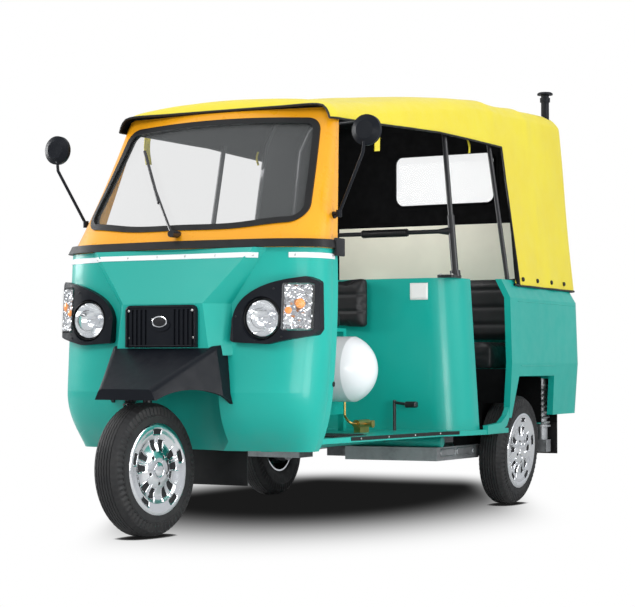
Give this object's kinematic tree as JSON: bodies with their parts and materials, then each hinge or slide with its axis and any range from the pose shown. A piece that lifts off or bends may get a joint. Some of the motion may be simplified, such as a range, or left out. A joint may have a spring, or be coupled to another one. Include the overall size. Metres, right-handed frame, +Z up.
{
  "type": "auto rickshaw",
  "caption": "Three-wheeled passenger taxi with open sides, soft canopy, steered front wheel, turning wheels and hinged rear lid.",
  "frame": {"origin": "centre of the bounding box on the ground plane", "axes": "+Z up, -Y forward, +X to the vehicle's left"},
  "size_m": [1.4816, 2.9615, 1.912],
  "materials": {
    "teal_paint": "gloss enamel",
    "amber_paint": "gloss enamel",
    "brass": "drawn tube and cast fittings",
    "white_paint": "gloss enamel",
    "black_steel": "satin black",
    "grey_steel": "bare pressed steel",
    "cast_metal": "cast",
    "wheel_chrome": "polished",
    "lamp_reflector": "polished",
    "lamp_plastic": "moulded lens",
    "red_plastic": "moulded lens",
    "black_plastic": "fine grain",
    "beige_plastic": "smooth",
    "black_rubber": "matte",
    "tyre": "moulded rubber",
    "tinted_glass": "tinted",
    "clear_film": "clear vinyl film",
    "black_vinyl": "grained vinyl",
    "yellow_fabric": "coated canvas, black inside"
  },
  "bodies": {
    "body": {"front_cowl": "teal_paint", "windshield_frame": "amber_paint", "windshield_glass": "tinted_glass", "windshield_seal": "black_rubber", "belt_moulding": "black_rubber", "grille_panel": "black_plastic", "front_fender": "black_plastic", "headlamp_bezels": "black_plastic", "indicator_lamps": "lamp_plastic", "headlamps": "lamp_reflector", "mirrors": "black_plastic", "wiper": "black_steel", "dashboard": "black_plastic", "floor_pan": "teal_paint", "partition": "teal_paint", "hood_poles": "black_steel", "grab_bar": "black_steel", "driver_seat_frame": "teal_paint", "driver_cushion": "black_vinyl", "driver_backrest": "black_vinyl", "gas_cylinder": "white_paint", "gas_pipework": "brass", "hand_lever": "black_steel", "rear_quarter_left": "teal_paint", "rear_quarter_right": "teal_paint", "rear_panel": "teal_paint", "engine_deck": "teal_paint", "seat_base": "teal_paint", "passenger_cushion": "black_vinyl", "passenger_backrest": "black_vinyl", "inner_trim": "beige_plastic", "canopy": "yellow_fabric", "rear_window": "clear_film", "canopy_bows": "black_steel", "snorkel": "black_plastic", "tail_lamps": "red_plastic", "engine_block": "cast_metal", "trailing_arms": "grey_steel", "rear_shocks": "grey_steel", "mudflaps": "black_rubber", "silencer": "grey_steel"},
    "steering": {"handlebar": "black_steel", "front_fork": "black_steel", "front_link": "black_steel", "front_shock": "black_steel"},
    "front_wheel_body": {"front_tyre": "tyre", "front_wheel": "wheel_chrome"},
    "rear_left_wheel_body": {"rear_left_tyre": "tyre", "rear_left_wheel": "wheel_chrome"},
    "rear_right_wheel_body": {"rear_right_tyre": "tyre", "rear_right_wheel": "wheel_chrome"},
    "rear_lid_body": {"rear_lid": "teal_paint"}
  },
  "joints": [
    {"name": "steer", "type": "hinge", "parent": "body", "child": "steering", "pos_m": [0, -1.195, 0.24104], "axis": [0, 0.3584, 0.9336], "range_deg": [-34, 46]},
    {"name": "front_wheel_spin", "type": "hinge", "parent": "steering", "child": "front_wheel_body", "pos_m": [-0.00439, -1.23978, 0.24096], "axis": [0.9945, -0.0976, 0.0375], "continuous": true},
    {"name": "rear_left_spin", "type": "hinge", "parent": "body", "child": "rear_left_wheel_body", "pos_m": [0.606, 0.765, 0.24151], "axis": [0.9976, 0, -0.0698], "continuous": true},
    {"name": "rear_right_spin", "type": "hinge", "parent": "body", "child": "rear_right_wheel_body", "pos_m": [-0.606, 0.765, 0.24151], "axis": [0.9976, 0, 0.0698], "continuous": true},
    {"name": "rear_lid_hinge", "type": "hinge", "parent": "body", "child": "rear_lid_body", "pos_m": [0, 1.469, 0.85], "axis": [1, 0, 0], "range_deg": [0, 75]}
  ]
}
